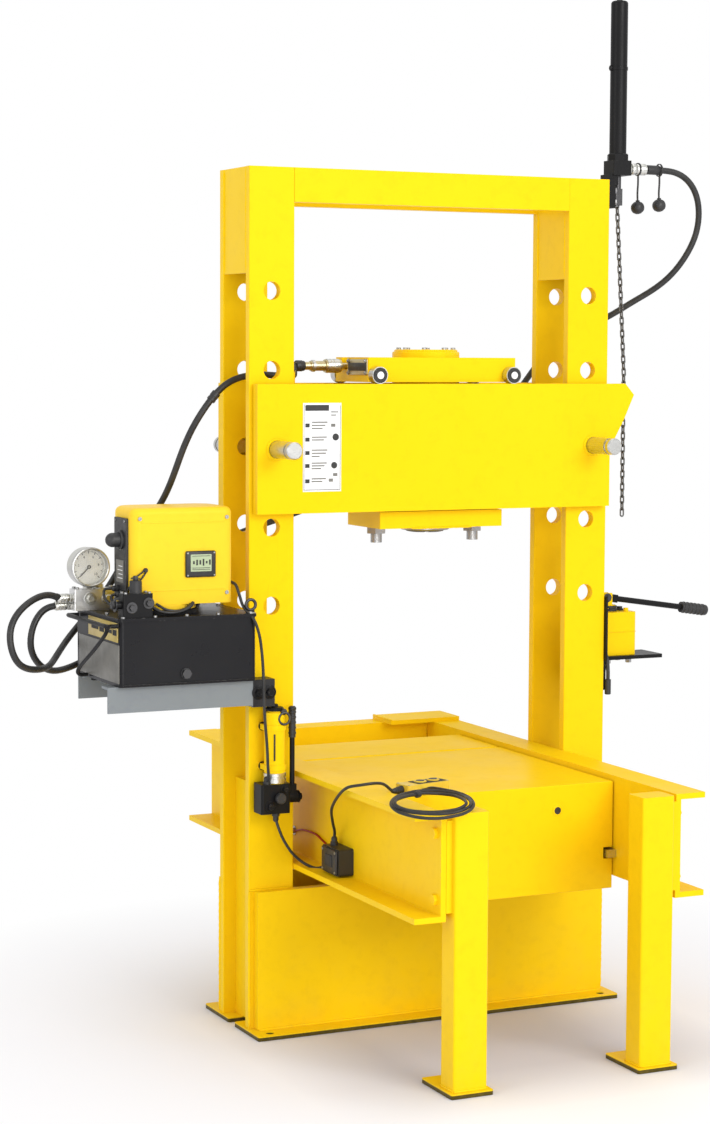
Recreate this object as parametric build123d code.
from build123d import *
import math
import os

# Hydraulic shop press: pinned H-frame, adjustable crosshead carrying a
# traversing double-acting cylinder, roll-out bed between two rails, electric
# pump on the left, lift cylinder with chain and two lever pumps.
# Millimetres, +Z up. Origin: floor level, centre of the H-frame.
# -Y is the front (operator side), +X is to the operator's right.

os.makedirs("parts", exist_ok=True)

SIDES = (-1, 1)           # left and right, or front and rear
FIT = 0.05                # radial clearance of running fits


# ------------------------------------------------------------------- helpers
# Paired limits may come in either order, so a side factor can mirror them.
def box(x0, x1, y0, y1, z0, z1):
    centre = Pos((x0 + x1) / 2, (y0 + y1) / 2, (z0 + z1) / 2)
    return centre * Box(abs(x1 - x0), abs(y1 - y0), abs(z1 - z0))


def round_box(x0, x1, y0, y1, z0, z1, r, axis=Axis.Z):
    """Box with the edges along one axis rounded."""
    return fillet(box(x0, x1, y0, y1, z0, z1).edges().filter_by(axis), r)


def cyl_x(y, z, x0, x1, r):
    return Pos((x0 + x1) / 2, y, z) * Rot(0, 90, 0) * Cylinder(r, abs(x1 - x0))


def cyl_y(x, z, y0, y1, r):
    return Pos(x, (y0 + y1) / 2, z) * Rot(90, 0, 0) * Cylinder(r, abs(y1 - y0))


def cyl_z(x, y, z0, z1, r):
    return Pos(x, y, (z0 + z1) / 2) * Cylinder(r, abs(z1 - z0))


def hexagon(flats):
    return RegularPolygon(flats / math.sqrt(3), 6)


def hex_x(y, z, x0, x1, flats):
    plane = Plane(origin=(min(x0, x1), y, z), x_dir=(0, 1, 0), z_dir=(1, 0, 0))
    return extrude(plane * hexagon(flats), abs(x1 - x0))


def hex_y(x, z, y0, y1, flats):
    plane = Plane(origin=(x, y0, z), x_dir=(1, 0, 0), z_dir=(0, 1, 0))
    return extrude(plane * hexagon(flats), y1 - y0)


def hex_z(x, y, z0, z1, flats):
    return Pos(x, y, z0) * extrude(hexagon(flats), z1 - z0)


def both(make):
    return [make(side) for side in SIDES]


def save(name, *pieces):
    if len(pieces) == 1:
        shape = pieces[0]
    else:
        shape = Compound(children=[s for piece in pieces for s in piece.solids()])
    shape.label = name
    export_step(shape, f"parts/{name}.step")


# =================================================================== H-FRAME
FRAME_H = 2217.0          # floor to top of head beams
FRAME_X = 524.0           # half width over the uprights
UP_W = 124.0              # width of one upright plate
UP_T = 25.0               # upright plate thickness
UP_Y = 99.0               # outside face of the front and rear plates
UP_IN_Y = UP_Y - UP_T     # their inside face
UP_IN_X = FRAME_X - UP_W
FLOOR_T = 12.0            # floor plate thickness
PIN_X = FRAME_X - UP_W / 2
HOLE_Z = [1106.0 + 200.0 * i for i in range(5)]
HOLE_R = 23.0
BEAM_H = 87.0             # head beam depth


def upright(sx, sy):
    plate = round_box(sx * UP_IN_X, sx * FRAME_X, sy * UP_IN_Y, sy * UP_Y,
                      FLOOR_T, FRAME_H, 2.5)
    for z in HOLE_Z:
        plate -= cyl_y(sx * PIN_X, z, -140, 140, HOLE_R)
    return plate


CORNERS = [(f"{depth}_{hand}", sx, sy)
           for sy, depth in ((-1, "front"), (1, "rear"))
           for sx, hand in ((-1, "left"), (1, "right"))]
for corner, sx, sy in CORNERS:
    save(f"upright_{corner}", upright(sx, sy))

save("head_beams", *both(lambda s: box(
    -UP_IN_X, UP_IN_X, s * UP_IN_Y, s * UP_Y, FRAME_H - BEAM_H, FRAME_H)))

SPACER_X0 = 402.0
SPACER_WALL = 12.0


def upright_spacer(side, x1, z0, z1):
    """Inverted U between the front and rear plates."""
    outer = box(side * SPACER_X0, side * x1, -UP_IN_Y, UP_IN_Y, z0, z1)
    return outer - box(side * (SPACER_X0 + SPACER_WALL), side * (x1 - SPACER_WALL),
                       -UP_IN_Y - 1, UP_IN_Y + 1, z0 - 1, z1 - SPACER_WALL)


save("upright_spacers",
     *both(lambda s: upright_spacer(s, 522, 1950, FRAME_H)),
     *both(lambda s: upright_spacer(s, 489, FLOOR_T, 640)))

save("base_plates", *both(lambda s: round_box(
    -510, 510, s * UP_Y, s * 126, FLOOR_T, 372, 2.5, Axis.Y)))

ANCHOR_X, ANCHOR_Y, ANCHOR_R = 490.0, 158.0, 11.0
LEG_ANCHOR_X, LEG_ANCHOR_Y, LEG_ANCHOR_R = 256.0, -706.0, 9.0


def base_foot(side):
    plate = round_box(-532, 532, side * 20, side * 184, 0, FLOOR_T, 6)
    for sx in SIDES:
        plate -= cyl_z(sx * ANCHOR_X, side * ANCHOR_Y, -1, FLOOR_T + 1, ANCHOR_R)
    return plate


def leg_foot(side):
    plate = round_box(side * 200, side * 313, -828, -669, 0, FLOOR_T, 6)
    return plate - cyl_z(side * LEG_ANCHOR_X, LEG_ANCHOR_Y, -1, FLOOR_T + 1, LEG_ANCHOR_R)


save("floor_plates", *both(base_foot), *both(leg_foot))

# ============================================================ RAILS AND LEGS
RAIL_BOT, RAIL_TOP = 420.0, 678.0
RAIL_IN = 316.0           # web inside face
RAIL_WEB = 14.0
RAIL_OUT = RAIL_IN + RAIL_WEB
RAIL_FL = 14.0            # flange thickness
RAIL_TIP = UP_IN_X - 1    # flange tips, just inside the uprights
RAIL_Y0, RAIL_Y1 = -798.0, 640.0

LEG_X0, LEG_X1 = 211.0, 301.0
LEG_Y0, LEG_Y1 = -815.0, -745.0
LEG_WALL = 6.0
LEG_BOLT_Y = -772.0
LEG_BOLT_Z = (470.0, 628.0)
LEG_BOLT_R = 8.0


def drill_leg_bolts(piece, side, x0, x1):
    for z in LEG_BOLT_Z:
        piece -= cyl_x(LEG_BOLT_Y, z, side * (x0 - 1), side * (x1 + 1), LEG_BOLT_R + 1)
    return piece


def rail(side):
    """Channel with its flanges pointing outward."""
    inner, tip = side * RAIL_IN, side * RAIL_TIP
    channel = (box(inner, side * RAIL_OUT, RAIL_Y0, RAIL_Y1, RAIL_BOT, RAIL_TOP)
               + box(inner, tip, RAIL_Y0, RAIL_Y1, RAIL_TOP - RAIL_FL, RAIL_TOP)
               + box(inner, tip, RAIL_Y0, RAIL_Y1, RAIL_BOT, RAIL_BOT + RAIL_FL))
    return drill_leg_bolts(channel, side, RAIL_IN, RAIL_OUT)


save("rail_left", rail(-1))
save("rail_right", rail(1))

# angle between the rails, with a flat plate over its right end
TIE_Y0, TIE_Y1 = 554.0, 634.0
save("rear_tie_beam",
     box(-RAIL_IN, RAIL_IN, TIE_Y0, TIE_Y0 + 20, 560, RAIL_TOP)
     + box(-RAIL_IN, RAIL_IN, TIE_Y0, TIE_Y1, RAIL_TOP - RAIL_FL, RAIL_TOP),
     round_box(176, RAIL_TIP, 506, TIE_Y1, RAIL_TOP, RAIL_TOP + 12, 4))


def leg(side):
    tube = round_box(side * LEG_X0, side * LEG_X1, LEG_Y0, LEG_Y1, FLOOR_T, RAIL_TOP, 6)
    tube -= box(side * (LEG_X0 + LEG_WALL), side * (LEG_X1 - LEG_WALL),
                LEG_Y0 + LEG_WALL, LEG_Y1 - LEG_WALL, FLOOR_T + LEG_WALL, RAIL_TOP - 8)
    return drill_leg_bolts(tube, side, LEG_X1 - LEG_WALL, LEG_X1)


save("front_legs", *both(leg))


def leg_packing(side):
    block = box(side * LEG_X1, side * RAIL_IN, -800, -746, 440, 660)
    return drill_leg_bolts(block, side, LEG_X1, RAIL_IN)


def leg_bolt(side, z):
    shank = cyl_x(LEG_BOLT_Y, z, side * (LEG_X1 - LEG_WALL), side * (RAIL_OUT + 1), LEG_BOLT_R)
    return shank + hex_x(LEG_BOLT_Y, z, side * RAIL_OUT, side * (RAIL_OUT + 10), 24)


save("leg_packing_and_bolts", *both(leg_packing),
     *[leg_bolt(side, z) for side in SIDES for z in LEG_BOLT_Z])

TRACK_TOP = 490.0
save("roller_tracks", *both(lambda s: box(
    s * 290, s * RAIL_IN, -520, 480, TRACK_TOP - 20, TRACK_TOP)))

# ====================================================================== BED
BED_TOP = RAIL_TOP - RAIL_FL
BED_UNDER = BED_TOP - 24  # underside of the deck
BED_X = 312.0
BED_Y0, BED_Y1 = -505.0, 345.0
BED_FRONT_T = 20.0
BED_FLANGE_Y1 = BED_Y0 + 105.0
BED_WEB_X0, BED_WEB_X1 = 250.0, 275.0
BED_WEB_Z0 = 440.0
BED_ROLLER_R = 25.0
BED_AXLE_R = 15.0
BED_AXLE_Y = (-380.0, 250.0)
BED_AXLE_Z = TRACK_TOP + BED_ROLLER_R + FIT


def bed_front_beam():
    """Front plate with a deck flange, notched at both ends for the tracks."""
    beam = (round_box(-BED_X, BED_X, BED_Y0, BED_Y0 + BED_FRONT_T, 388, BED_TOP, 2, Axis.X)
            + box(-BED_X, BED_X, BED_Y0 + 15, BED_FLANGE_Y1, BED_UNDER, BED_TOP))
    for side in SIDES:
        beam -= box(side * (BED_X + 1), side * 286,
                    BED_Y0 - 1, BED_Y0 + BED_FRONT_T + 1, 465, TRACK_TOP + 5)
    return beam


def bed_frame():
    """Two deck plates over side webs, a rear web and a cross web."""
    frame = (box(-BED_X, BED_X, BED_FLANGE_Y1 + 0.6, 96, BED_UNDER, BED_TOP)
             + box(-BED_X, BED_X, 108, BED_Y1, BED_UNDER, BED_TOP))
    for side in SIDES:
        frame += box(side * BED_WEB_X0, side * BED_WEB_X1,
                     BED_Y0 + BED_FRONT_T, BED_Y1, BED_WEB_Z0, BED_UNDER)
    frame += box(-BED_WEB_X0, BED_WEB_X0, BED_Y1 - 20, BED_Y1, BED_WEB_Z0, BED_UNDER)
    frame += box(-BED_WEB_X0, BED_WEB_X0, -110, -90, 470, BED_UNDER)
    for y in BED_AXLE_Y:
        for side in SIDES:
            frame -= cyl_x(y, BED_AXLE_Z, side * (BED_WEB_X0 - 1),
                           side * (BED_WEB_X1 + 1), BED_AXLE_R + FIT)
    return frame


def bed_wheelset(y):
    wheels = cyl_x(y, BED_AXLE_Z, -310, 310, BED_AXLE_R)
    for side in SIDES:
        wheels += cyl_x(y, BED_AXLE_Z, side * 292, side * 310, BED_ROLLER_R)
        wheels += cyl_x(y, BED_AXLE_Z, side * 277, side * 292, 19)
    return wheels


save("bed_front_beam", bed_front_beam())
save("bed_frame", bed_frame())
save("bed_wheelset_front", bed_wheelset(BED_AXLE_Y[0]))
save("bed_wheelset_rear", bed_wheelset(BED_AXLE_Y[1]))

# pendant control lying on the deck; built at the origin, then placed
PENDANT = Pos(-205, -452, BED_TOP) * Rot(0, 0, 14)
PENDANT_H = 26.0
BUTTON_R = 10.0
BUTTONS = {"up": -8, "down": 34}    # x along the case

case = round_box(-68, 68, -27, 27, 0, PENDANT_H, 8)
for x in BUTTONS.values():
    case -= cyl_z(x, 0, 20, PENDANT_H + 1, BUTTON_R + 0.3)
save("pendant_case", PENDANT * case)
for name, x in BUTTONS.items():
    save(f"pendant_button_{name}", PENDANT * cyl_z(x, 0, 22.5, PENDANT_H + 5, BUTTON_R))

# ================================================================= CROSSHEAD
CH_X = 515.0              # half width
CH_Z0, CH_Z1 = 1342.0, 1671.0
CH_T = 28.0
CH_Y = 131.0              # outside face of the plates
CH_IN_Y = CH_Y - CH_T
PIN_R = 22.0
PIN_Z = HOLE_Z[2]

# x, z of the front plate; an ear stands out at the upper right
FRONT_OUTLINE = [
    (-CH_X, CH_Z0), (CH_X, CH_Z0), (CH_X, 1500), (531, 1525),
    (561, 1580), (589, 1641), (562, CH_Z1), (-CH_X, CH_Z1),
]

front_plane = Plane(origin=(0, -CH_Y, 0), x_dir=(1, 0, 0), z_dir=(0, -1, 0))
front_plate = extrude(front_plane * Polygon(*FRONT_OUTLINE, align=None), -CH_T)
rear_plate = box(-CH_X, CH_X, CH_IN_Y, CH_Y, CH_Z0, CH_Z1)
for side in SIDES:
    front_plate -= cyl_y(side * PIN_X, PIN_Z, -140, -95, PIN_R + FIT)
    rear_plate -= cyl_y(side * PIN_X, PIN_Z, 95, 140, PIN_R + FIT)
save("crosshead_front_plate", front_plate)
save("crosshead_rear_plate", rear_plate)

# the left spacer carries a drilled tab
tab = box(-384, -362, -18, 18, 1640, 1706) - cyl_x(0, 1690, -390, -355, 9.5)
save("crosshead_spacers",
     box(-385, -360, -CH_IN_Y, CH_IN_Y, 1375, 1640) + tab,
     box(360, 385, -CH_IN_Y, CH_IN_Y, 1375, 1640))


def pin(sx, sy):
    """Crosshead pin with a groove near its outer end."""
    x = sx * PIN_X
    body = cyl_y(x, PIN_Z, sy * (CH_IN_Y + 0.3), sy * 246, PIN_R)
    body = chamfer(body.edges().filter_by(GeomType.CIRCLE), 3)
    return body - (cyl_y(x, PIN_Z, sy * 222, sy * 230, PIN_R + 1)
                   - cyl_y(x, PIN_Z, sy * 221, sy * 231, PIN_R - 3))


for corner, sx, sy in CORNERS:
    save(f"pin_{corner}", pin(sx, sy))

# ================================================== CARRIAGE AND MAIN CYLINDER
CYL_X = 24.0              # cylinder axis at rest
CYL_R = 89.0
CYL_Z0, CYL_Z1 = 1291.0, 1754.0
BORE_R = 65.0
RAM_R = 47.5
CAR_TOP = 1739.0
CAR_ROLLER_R = 22.0
CAR_AXLE_R = 10.0
CAR_AXLE_DX = 196.0
CAR_AXLE_Z = CH_Z1 + CAR_ROLLER_R + FIT
TIE_DX = 143.0            # tie rods either side of the cylinder
TIE_R = 15.0
CPL_Y, CPL_Z = 45.0, 1716.0    # axis of the oil coupling


def carriage_top_block():
    block = round_box(CYL_X - 216, CYL_X + 216, -101, 101, CH_Z1 + 4, CAR_TOP, 3)
    block -= cyl_z(CYL_X, 0, 1600, 1800, CYL_R + 0.1)
    # channel for the oil coupling
    for x0, x1, z0 in ((-217, -150, 1706), (-151, -60, 1697)):
        block -= box(CYL_X + x0, CYL_X + x1, CPL_Y - 17, CPL_Y + 17, z0, CAR_TOP + 1)
    for side in SIDES:
        tie_x = CYL_X + side * TIE_DX
        block -= cyl_y(CYL_X + side * CAR_AXLE_DX, CAR_AXLE_Z, -102, 102, CAR_AXLE_R + FIT)
        block -= (cyl_z(tie_x, 0, 1600, 1800, TIE_R + 0.2)
                  + cyl_z(tie_x, 0, 1716, 1800, 24.5))
    return block


def carriage_bottom_block():
    block = round_box(CYL_X - 180, CYL_X + 180, -100, 100, 1294, 1338, 3)
    block -= cyl_z(CYL_X, 0, 1280, 1350, CYL_R + 0.1)
    for side in SIDES:
        block -= cyl_z(CYL_X + side * TIE_DX, 0, 1280, 1350, TIE_R + 0.2)
    return block


def tie_rod(side):
    """Rod with a round socket head on top and a hexagon nut below."""
    x = CYL_X + side * TIE_DX
    rod = (cyl_z(x, 0, 1252, 1734, TIE_R) + cyl_z(x, 0, 1716.2, 1736, 23.5)
           + hex_z(x, 0, 1276, 1293.8, 46))
    return rod - hex_z(x, 0, 1724, 1737, 19)


def carriage_wheelset(side):
    x = CYL_X + side * CAR_AXLE_DX
    wheels = cyl_y(x, CAR_AXLE_Z, -130, 130, CAR_AXLE_R)
    for sy in SIDES:
        wheels += cyl_y(x, CAR_AXLE_Z, sy * 104, sy * 130, CAR_ROLLER_R)
    return wheels


save("carriage_top_block", carriage_top_block())
save("carriage_bottom_block", carriage_bottom_block())
save("carriage_tie_rods", *both(tie_rod))
save("carriage_wheelset_left", carriage_wheelset(-1))
save("carriage_wheelset_right", carriage_wheelset(1))

body = cyl_z(CYL_X, 0, CYL_Z0, CYL_Z1, CYL_R)
body = fillet(body.edges().filter_by(GeomType.CIRCLE), 3)
body -= cyl_z(CYL_X, 0, 1365, 1730, BORE_R)
body -= cyl_z(CYL_X, 0, CYL_Z0 - 1, 1366, RAM_R + FIT)
body -= cyl_x(CPL_Y, CPL_Z, CYL_X - CYL_R - 2, CYL_X - 40, 9)
save("cylinder_body", body)

# ram with its piston, drawn fully up, and the saddle plugged into its end
RAM_Z0 = 1288.0
PISTON_Z0 = 1658.0
SADDLE_R = 20.0
ram = (cyl_z(CYL_X, 0, RAM_Z0, PISTON_Z0, RAM_R)
       + cyl_z(CYL_X, 0, PISTON_Z0, PISTON_Z0 + 50, BORE_R - FIT))
ram -= cyl_z(CYL_X, 0, RAM_Z0 - 1, 1330, SADDLE_R)
save("ram", ram)
save("ram_saddle", cyl_z(CYL_X, 0, RAM_Z0 - 10, RAM_Z0, 44)
     + cyl_z(CYL_X, 0, RAM_Z0, 1326, SADDLE_R - FIT))

# oil coupling and hose tail on the cylinder's left side
coupling = hex_x(CPL_Y, CPL_Z, CYL_X - CYL_R - 22, CYL_X - 70, 26)
for x0, x1, r in ((-246, -80, 8), (-250, -206, 17), (-292, -250, 13)):
    coupling += cyl_x(CPL_Y, CPL_Z, x0, x1, r)
coupling -= cyl_z(CYL_X, 0, 1650, 1760, CYL_R + FIT)
hose_tail = cyl_x(CPL_Y, CPL_Z, -332, -292, 10.5) + cyl_x(CPL_Y, CPL_Z, -320, -312, 13)
save("cylinder_coupling", coupling + hose_tail)

# ================================================================= LIFT GEAR
LIFT_X, LIFT_Y = 572.0, -58.0
LIFT_Z0, LIFT_Z1 = 2231.0, 2271.0    # block under the lift cylinder
LIFT_ROD_R = 10.0
LIFT_BORE_R = 17.5
EYE_Z, EYE_R = 2160.0, 2.4           # cross pin that holds the chain

bracket = (box(FRAME_X, LIFT_X - 23, -88, -28, 2142, 2219)
           + box(LIFT_X - 40, LIFT_X - 10, -80, -36, 2205, LIFT_Z0 + 2)
           + round_box(LIFT_X - 28, LIFT_X + 28, LIFT_Y - 28, LIFT_Y + 28,
                       LIFT_Z0, LIFT_Z1, 3))
bracket -= cyl_z(LIFT_X, LIFT_Y, LIFT_Z0 - 30, LIFT_Z1 + 1, LIFT_ROD_R + FIT)
save("lift_cylinder_bracket", bracket)

tube = cyl_z(LIFT_X, LIFT_Y, LIFT_Z1, 2697, 23)
tube = fillet(tube.edges().filter_by(GeomType.CIRCLE).sort_by(Axis.Z)[-1], 8)
tube += cyl_x(LIFT_Y, 2518, LIFT_X - 27, LIFT_X - 18, 7)
tube -= cyl_z(LIFT_X, LIFT_Y, 2300, 2685, LIFT_BORE_R)
tube -= cyl_z(LIFT_X, LIFT_Y, LIFT_Z1 - 1, 2301, LIFT_ROD_R + FIT)
save("lift_cylinder_tube", tube)

# rod with a piston on top and a slotted, cross-pinned end below
rod = (cyl_z(LIFT_X, LIFT_Y, 2190, 2620, LIFT_ROD_R)
       + cyl_z(LIFT_X, LIFT_Y, 2620, 2650, LIFT_BORE_R - FIT)
       + round_box(LIFT_X - 11, LIFT_X + 11, LIFT_Y - 11, LIFT_Y + 11, 2151, 2196, 3))
rod -= box(LIFT_X - 12, LIFT_X + 12, LIFT_Y - 4, LIFT_Y + 4, 2150, 2178)
rod += cyl_y(LIFT_X, EYE_Z, LIFT_Y - 11, LIFT_Y + 11, EYE_R)
save("lift_rod", rod)

WIRE_D = 4.2
LINK_L, LINK_W = 18.0, 5.2           # inside length and width of a link
LINK_PITCH = 17.4
LINK_COUNT = 49
CHAIN_TOP = EYE_Z + EYE_R + 0.3 - LINK_L / 2
# the chain leans a little away from the frame and then hangs straight
LEAN_Z, LEAN_X = 1700.0, 28.0


def chain_link():
    """Upright link; half is swept and mirrored, so the ring closes exactly."""
    half_w = (LINK_W + WIRE_D) / 2
    straight = (LINK_L - LINK_W) / 2
    profile = Plane(origin=(-half_w, 0, 0), z_dir=(0, 0, 1)) * Circle(WIRE_D / 2)
    path = Wire([
        Line((-half_w, 0, 0), (-half_w, 0, straight)).edge(),
        ThreePointArc((-half_w, 0, straight), (0, 0, straight + half_w),
                      (half_w, 0, straight)).edge(),
        Line((half_w, 0, straight), (half_w, 0, 0)).edge(),
    ])
    half = sweep(profile, path=path)
    return half + mirror(half, about=Plane.XY)


link = chain_link()
lean_angle = math.degrees(math.atan2(LEAN_X, CHAIN_TOP - LEAN_Z))
links = []
for i in range(LINK_COUNT):
    z = CHAIN_TOP - i * LINK_PITCH
    t = min(1.0, (CHAIN_TOP - z) / (CHAIN_TOP - LEAN_Z))
    lean = lean_angle if 0 < t < 1 else 0.0
    place = Pos(LIFT_X + LEAN_X * t, LIFT_Y, z) * Rot(0, -lean, 0)
    links.append(place * Rot(0, 0, 90 * (i % 2)) * link)
save("lift_chain", *links)

# ============================================================ RIGHT LEVER PUMP
SHELF_Z = 921.0
PUMP_TOP = 1040.0
PIVOT_X, PIVOT_Z, PIVOT_R = 582.0, 1080.0, 5.0
save("right_pump_bracket", box(FRAME_X, 532, -96, 96, 836, SHELF_Z)
     + round_box(FRAME_X, 740, -55, 55, SHELF_Z - 10, SHELF_Z, 4))

pump = round_box(556, 664, -38, 38, SHELF_Z, PUMP_TOP, 9)
pump += cyl_z(600, 0, PUMP_TOP, 1058, 17)
for side in SIDES:
    pump += box(562, 600, side * 8, side * 14, PUMP_TOP, 1092)
pump += cyl_z(640, -20, PUMP_TOP, 1050, 7)
pump += cyl_y(PIVOT_X, PIVOT_Z, -18, 18, PIVOT_R)
save("right_pump_body", pump)

# built along +X from its pivot, then tipped down by 49 in 330
LEVER_DROP = math.degrees(math.atan2(49.0, 330.0))
lever = box(-14, 40, -7.5, 7.5, -11, 11) + cyl_x(0, 0, 40, 252, 8) + cyl_x(0, 0, 252, 338, 15)
lever = fillet(lever.edges().filter_by(GeomType.CIRCLE).sort_by(Axis.X)[-1], 6)
lever -= cyl_y(0, 0, -20, 20, PIVOT_R + 0.1)
save("right_pump_lever", Pos(PIVOT_X, 0, PIVOT_Z) * Rot(0, LEVER_DROP, 0) * lever)

# ============================================================= LEFT LEVER PUMP
LP_X, LP_Y = -468.0, -134.0          # axis of the pump barrel
LP_Z0 = 656.0
STRAP_R = 29.5
HEAD_X1 = -436.0                     # right face of the head
SHAFT_Z, SHAFT_R = 616.0, 7.0
LEVER_X = -419.0

barrel = cyl_z(LP_X, LP_Y, LP_Z0, 838, 27) + cyl_z(LP_X, LP_Y, 838, 846, 20)
for z in (688, 790):
    barrel += box(LP_X - 31, LP_X + 31, -106, -UP_Y, z, z + 18)
    barrel += cyl_z(LP_X, LP_Y, z + 2, z + 16, STRAP_R)
    barrel += box(LP_X - STRAP_R, LP_X + STRAP_R, LP_Y, -UP_Y, z + 2, z + 16)
save("left_pump_body", barrel)

head = round_box(-516, HEAD_X1, LP_Y - 30, LP_Y + 26, 580, LP_Z0, 6)
for x0, x1, r in ((HEAD_X1 - 1, -403, SHAFT_R), (-407, -403, 11), (HEAD_X1 - 1, -431, 16)):
    head += cyl_x(LP_Y, SHAFT_Z, x0, x1, r)
save("left_pump_head", head)

lever = (cyl_x(LP_Y, SHAFT_Z, LEVER_X - 11.5, LEVER_X + 11.5, 15)
         + box(LEVER_X - 9, LEVER_X + 9, LP_Y - 9, LP_Y + 9, SHAFT_Z, 650))
lever += cyl_z(LEVER_X, LP_Y, 650, 786, 6.5) + cyl_z(LEVER_X, LP_Y, 770, 848, 9)
lever -= cyl_x(LP_Y, SHAFT_Z, -435, -400, SHAFT_R + 0.1)
save("left_pump_lever", lever)

# ============================================================== ELECTRIC PUMP
TANK_X0, TANK_X1 = -895.0, -532.0
TANK_Y = 165.0
TANK_Z0, TANK_Z1 = 925.0, 1088.0
TANK_WALL = 4.0
LID = TANK_Z1 + 8         # top of the lid
ARM_X1, ARM_Y = -534.0, 149.0


def bracket_arm(side, x0):
    """Angle arm with a clamp block on the upright's front or rear face."""
    return (box(x0, ARM_X1, side * (ARM_Y - 6), side * ARM_Y, 860, TANK_Z0)
            + box(x0, ARM_X1, side * 101, side * ARM_Y, TANK_Z0 - 6, TANK_Z0)
            + box(ARM_X1, -474, side * UP_Y, side * ARM_Y, 855, TANK_Z0))


save("pump_bracket", bracket_arm(-1, -921), bracket_arm(1, -897))

DRAIN_X, DRAIN_Z, DRAIN_R = -722.0, 953.0, 9.0
EYE_X, EYE_Y = -541.0, -150.0        # lifting eye on the lid

tank = round_box(TANK_X0, TANK_X1, -TANK_Y, TANK_Y, TANK_Z0, TANK_Z1, 10)
tank -= round_box(TANK_X0 + TANK_WALL, TANK_X1 - TANK_WALL, -TANK_Y + TANK_WALL,
                  TANK_Y - TANK_WALL, TANK_Z0 + TANK_WALL, TANK_Z1 + 1, 7)
tank -= cyl_y(DRAIN_X, DRAIN_Z, -TANK_Y - 1, -TANK_Y + 5, DRAIN_R + FIT)
save("oil_tank", tank)

lid = round_box(TANK_X0 - 4, TANK_X1 + 2, -TANK_Y - 4, TANK_Y + 4, TANK_Z1, LID, 10)
lid -= cyl_z(EYE_X, EYE_Y, TANK_Z1 - 1, LID + 1, 6.1)
save("tank_lid", lid)

plug = (cyl_y(DRAIN_X, DRAIN_Z, -TANK_Y - 1, -TANK_Y + 3.9, DRAIN_R)
        + hex_y(DRAIN_X, DRAIN_Z, -TANK_Y - 11, -TANK_Y, 22))
eye = cyl_z(EYE_X, EYE_Y, TANK_Z1 + 1, LID, 6) + cyl_z(EYE_X, EYE_Y, LID, LID + 6, 10)
eye += Pos(EYE_X, EYE_Y, LID + 20.5) * Rot(90, 0, 0) * Torus(13, 4)
save("tank_fittings", plug, eye)

SHROUD_X0, SHROUD_X1 = -846.0, -574.0
SHROUD_Y0, SHROUD_Y1 = -120.0, 50.0
SHROUD_Z0 = 1122.0
MOTOR_X, MOTOR_Y = -742.0, -32.0


def shroud_block(inset, z0, z1):
    block = box(SHROUD_X0 + inset, SHROUD_X1 - inset,
                SHROUD_Y0 + inset, SHROUD_Y1 - inset, z0, z1)
    rear = block.edges().filter_by(Axis.Z).sort_by(Axis.Y)[-2:]
    block = fillet(rear, 55 - inset)
    front = block.edges().filter_by(Axis.Z).sort_by(Axis.Y)[:2]
    return fillet(front, 26 - inset)


shroud = shroud_block(0, SHROUD_Z0, 1364)
shroud = fillet(shroud.faces().sort_by(Axis.Z)[-1].edges(), 16)
shroud -= shroud_block(5, SHROUD_Z0 - 1, 1357)
shroud -= box(-704, -628, -121, -114, 1191, 1252)
collar = (cyl_z(MOTOR_X, MOTOR_Y, LID, SHROUD_Z0, 92)
          - cyl_z(MOTOR_X, MOTOR_Y, LID - 1, SHROUD_Z0 + 1, 80))
save("motor_shroud", shroud, collar)
save("pump_motor", cyl_z(MOTOR_X, MOTOR_Y, LID, 1250, 62)
     + cyl_z(MOTOR_X, MOTOR_Y, 1250, 1300, 44))

# left panel with a domed knob, and the plate in the front window
KNOB_X, KNOB_Y, KNOB_Z, KNOB_R = SHROUD_X0 - 30, -58, 1283, 18
panel = round_box(SHROUD_X0 - 7, SHROUD_X0, -92, -8, 1128, 1338, 4, Axis.X)
panel += cyl_x(KNOB_Y, KNOB_Z, KNOB_X, SHROUD_X0 - 6, KNOB_R)
panel += Pos(KNOB_X, KNOB_Y, KNOB_Z) * Sphere(KNOB_R)
save("shroud_panels", panel,
     round_box(-703.8, -628.2, -125, -115.2, 1191.2, 1251.8, 3, Axis.Y))

GAUGE_X, GAUGE_Y, GAUGE_Z = -893.0, 83.0, 1206.0
rear_block = round_box(-935, -815, 62, 104, LID, 1150, 3)
rear_block += cyl_z(GAUGE_X, GAUGE_Y, 1150, 1155, 8)
rear_block += cyl_x(76, 1128, -939, -935, 10) + cyl_x(94, 1108, -939, -935, 10)
front_block = round_box(-884, -806, -160, -122, LID, 1156, 4)
front_block += cyl_x(-141, 1128, -900, -884, 10)
save("valve_manifolds", rear_block, front_block)

gauge = cyl_y(GAUGE_X, GAUGE_Z, GAUGE_Y - 20, GAUGE_Y + 18, 49)
gauge -= cyl_y(GAUGE_X, GAUGE_Z, GAUGE_Y - 21, GAUGE_Y - 8, 45)
gauge += cyl_y(GAUGE_X, GAUGE_Z, GAUGE_Y - 13, GAUGE_Y - 5, 2.45)
gauge += cyl_z(GAUGE_X, GAUGE_Y, 1155, 1162, 8)
save("gauge_case", gauge)

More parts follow.
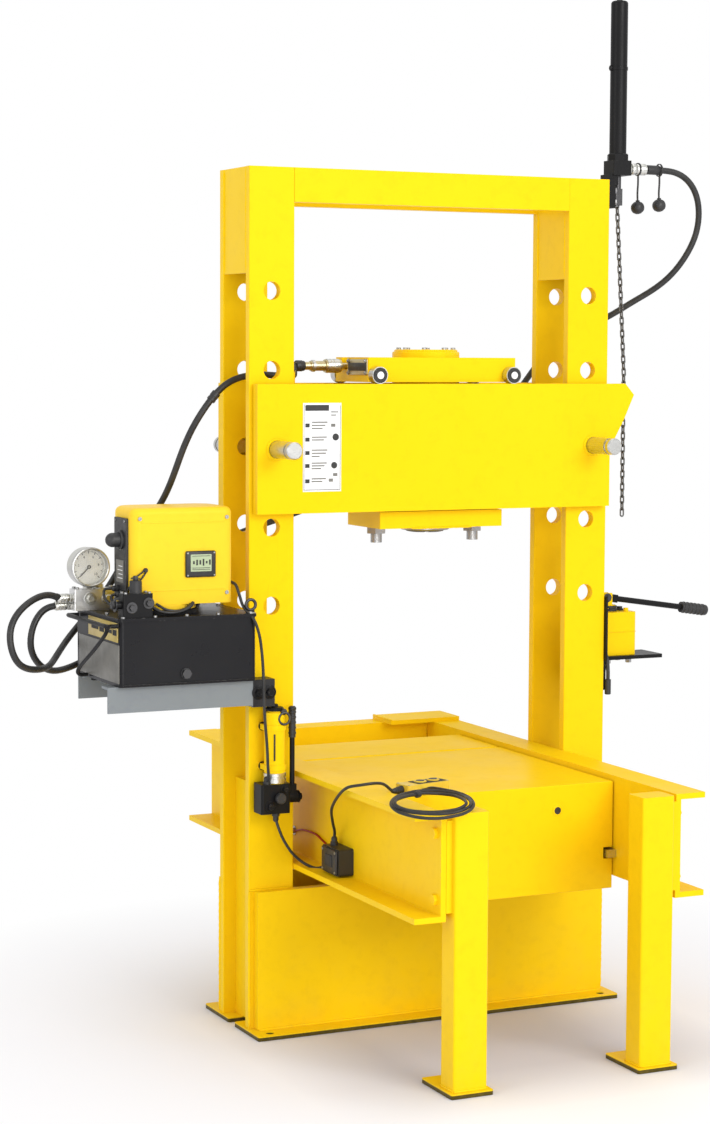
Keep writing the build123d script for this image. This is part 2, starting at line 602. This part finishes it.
# the needle is built pointing up, then turned about the gauge axis
needle = (cyl_y(GAUGE_X, GAUGE_Z, GAUGE_Y - 14.5, GAUGE_Y - 12.5, 5)
          + box(GAUGE_X - 1.2, GAUGE_X + 1.2, GAUGE_Y - 14.5, GAUGE_Y - 13.2,
                GAUGE_Z, GAUGE_Z + 34))
needle -= cyl_y(GAUGE_X, GAUGE_Z, GAUGE_Y - 20, GAUGE_Y - 5, 2.5)
save("gauge_needle", needle.rotate(Axis((GAUGE_X, GAUGE_Y, GAUGE_Z), (0, 1, 0)), -135))

# ====================================================================== HOSES
HOSE_R = 8.5
# x, y, z along each hose, starting at the rear manifold's left ports
CYLINDER_HOSE = [
    (-941, 76, 1128), (-963, 75.5, 1128.5), (-1000, 56, 1139), (-1070, 20, 1125),
    (-1126, -10, 1060), (-1110, -10, 985), (-1040, 40, 955), (-960, 150, 965),
    (-900, 215, 1010), (-800, 225, 1120), (-730, 175, 1260), (-684, 70, 1390),
    (-646, 20, 1528), (-605, 0, 1609), (-572, 0, 1648),
]
LIFT_HOSE = [
    (-940.2, 94, 1108), (-963, 94.5, 1108), (-992, 97, 1104), (-1030, 90, 1070),
    (-1042, 90, 1010), (-1000, 130, 950), (-900, 205, 935), (-760, 230, 1000),
    (-640, 225, 1110), (-540, 262, 1200), (-462, 285, 1238), (-250, 275, 1310),
    (0, 272, 1398), (250, 268, 1500), (400, 265, 1597), (474, 262, 1676),
    (508, 252, 1724), (555, 215, 1780), (600, 155, 1822), (646, 100, 1856),
    (702, 65, 1896), (741, 40, 1924), (779, 12, 1960), (816, -14, 2015),
    (840, -36, 2085), (838, -50, 2150), (815, -57, 2205), (770, -58, 2241),
    (710, -58, 2250), (655, -58, 2250.5), (600.5, -58, 2250),
]


def hose(points):
    path = Spline(*[Vector(*p) for p in points])
    return sweep(Plane(origin=path @ 0, z_dir=path % 0) * Circle(HOSE_R), path=path)


save("hose_cylinder", hose(CYLINDER_HOSE))
save("hose_lift", hose(LIFT_HOSE))

# ============================================================== JUNCTION BOX
# on the outside of the left rail's web
save("junction_box", round_box(-RAIL_OUT - 42, -RAIL_OUT, -318, -222, 438, 506, 6, Axis.X))
